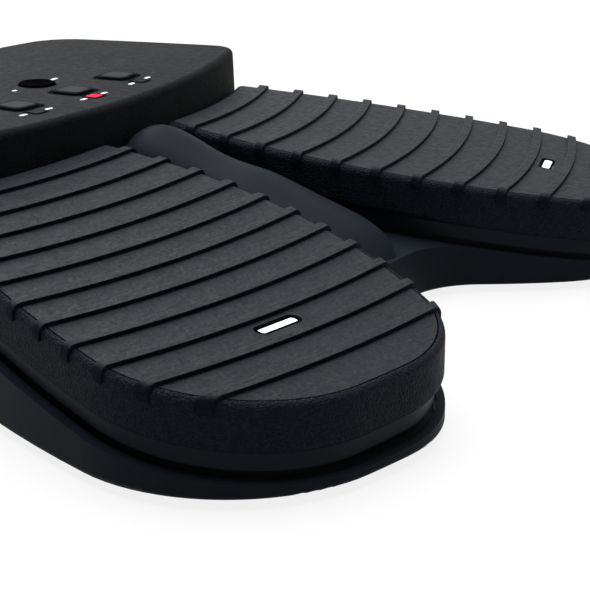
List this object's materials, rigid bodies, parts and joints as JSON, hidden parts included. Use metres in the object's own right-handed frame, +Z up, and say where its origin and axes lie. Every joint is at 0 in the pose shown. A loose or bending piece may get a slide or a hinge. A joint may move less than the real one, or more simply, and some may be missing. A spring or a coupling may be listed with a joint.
{
  "type": "page turner pedal",
  "caption": "Low floor unit with ribbed foot pedals side by side, hinged under a raised control pod with push keys and indicator windows.",
  "frame": {"origin": "middle of the underside's outline, on the floor that the rubber feet stand on", "axes": "+X to the right as seen from the pedal tips, -Y towards the pedal tips, +Z up"},
  "size_m": [0.223, 0.1892, 0.0464],
  "materials": {
    "housing": "smooth satin black",
    "plate": "fine matte black",
    "cover": "fine-grained dark grey",
    "shell": "grained blue-black",
    "tread": "matt dark grey",
    "frame": "smooth satin black",
    "light_bar": "clear white",
    "window": "clear, unlit",
    "lit_window": "clear, lit pink-red",
    "key": "matt grey",
    "round_key": "satin black",
    "plunger": "matt black",
    "board": "green solder mask",
    "switch": "matt black",
    "chip": "clear white",
    "screen_can": "tinned steel",
    "holder": "matt black",
    "cell": "plain sleeve",
    "foot": "matt black",
    "screw": "plated",
    "steel": "plain steel",
    "spring": "spring steel",
    "magnet": "nickel plated"
  },
  "bodies": {
    "base": {"base_housing": "housing", "bottom_plate": "plate", "pod_cover": "cover", "centre_window": "lit_window", "side_windows": "window", "control_board": "board", "key_switches": "switch", "indicator_chips": "chip", "main_board": "board", "radio_module": "screen_can", "usb_socket": "screen_can", "cell_holder": "holder", "cells": "cell", "cell_contacts": "screen_can", "feet": "foot", "housing_screws": "screw", "short_screws": "screw", "right_hinge_bracket": "steel", "right_hinge_pin": "steel", "right_rest_pads": "foot", "right_return_spring": "spring", "right_bumper": "foot", "right_pedal_sensor": "board", "left_hinge_bracket": "steel", "left_hinge_pin": "steel", "left_rest_pads": "foot", "left_return_spring": "spring", "left_bumper": "foot", "left_pedal_sensor": "board"},
    "right_pedal": {"right_pedal_shell": "shell", "right_pedal_tread": "tread", "right_pedal_frame": "frame", "right_light_bar": "light_bar", "right_light_board": "board", "right_light_board_screws": "screw", "right_magnet": "magnet"},
    "left_pedal": {"left_pedal_shell": "shell", "left_pedal_tread": "tread", "left_pedal_frame": "frame", "left_light_bar": "light_bar", "left_light_board": "board", "left_light_board_screws": "screw", "left_magnet": "magnet"},
    "round_button": {"round_key": "round_key", "round_plunger": "plunger"},
    "left_button": {"left_key": "key", "left_plunger": "plunger"},
    "centre_button": {"centre_key": "key", "centre_plunger": "plunger"},
    "right_button": {"right_key": "key", "right_plunger": "plunger"},
    "cell_cover": {"cell_door": "plate"}
  },
  "joints": [
    {"name": "right_pedal_hinge", "type": "hinge", "parent": "base", "child": "right_pedal", "pos_m": [0.03805, 0.03237, 0.02], "axis": [0.9195, 0.3931, 0], "range_deg": [0, 0.9], "stiffness_Nm_per_rad": 15, "springref_deg": -1.72, "deforming": ["right_return_spring"]},
    {"name": "left_pedal_hinge", "type": "hinge", "parent": "base", "child": "left_pedal", "pos_m": [-0.03805, 0.03237, 0.02], "axis": [0.9195, -0.3931, 0], "range_deg": [0, 0.9], "stiffness_Nm_per_rad": 15, "springref_deg": -1.72, "deforming": ["left_return_spring"]},
    {"name": "round_press", "type": "slide", "parent": "base", "child": "round_button", "axis": [0, 0, -1], "range_m": [0, 0.00035], "stiffness_N_per_m": 400, "springref_m": -0.0005},
    {"name": "left_press", "type": "slide", "parent": "base", "child": "left_button", "axis": [0, 0, -1], "range_m": [0, 0.00035], "stiffness_N_per_m": 400, "springref_m": -0.0005},
    {"name": "centre_press", "type": "slide", "parent": "base", "child": "centre_button", "axis": [0, 0, -1], "range_m": [0, 0.00035], "stiffness_N_per_m": 400, "springref_m": -0.0005},
    {"name": "right_press", "type": "slide", "parent": "base", "child": "right_button", "axis": [0, 0, -1], "range_m": [0, 0.00035], "stiffness_N_per_m": 400, "springref_m": -0.0005},
    {"name": "cell_door_hinge", "type": "hinge", "parent": "base", "child": "cell_cover", "pos_m": [0, 0.05876, 0.002], "axis": [-1, 0, 0], "range_deg": [0, 75]}
  ]
}
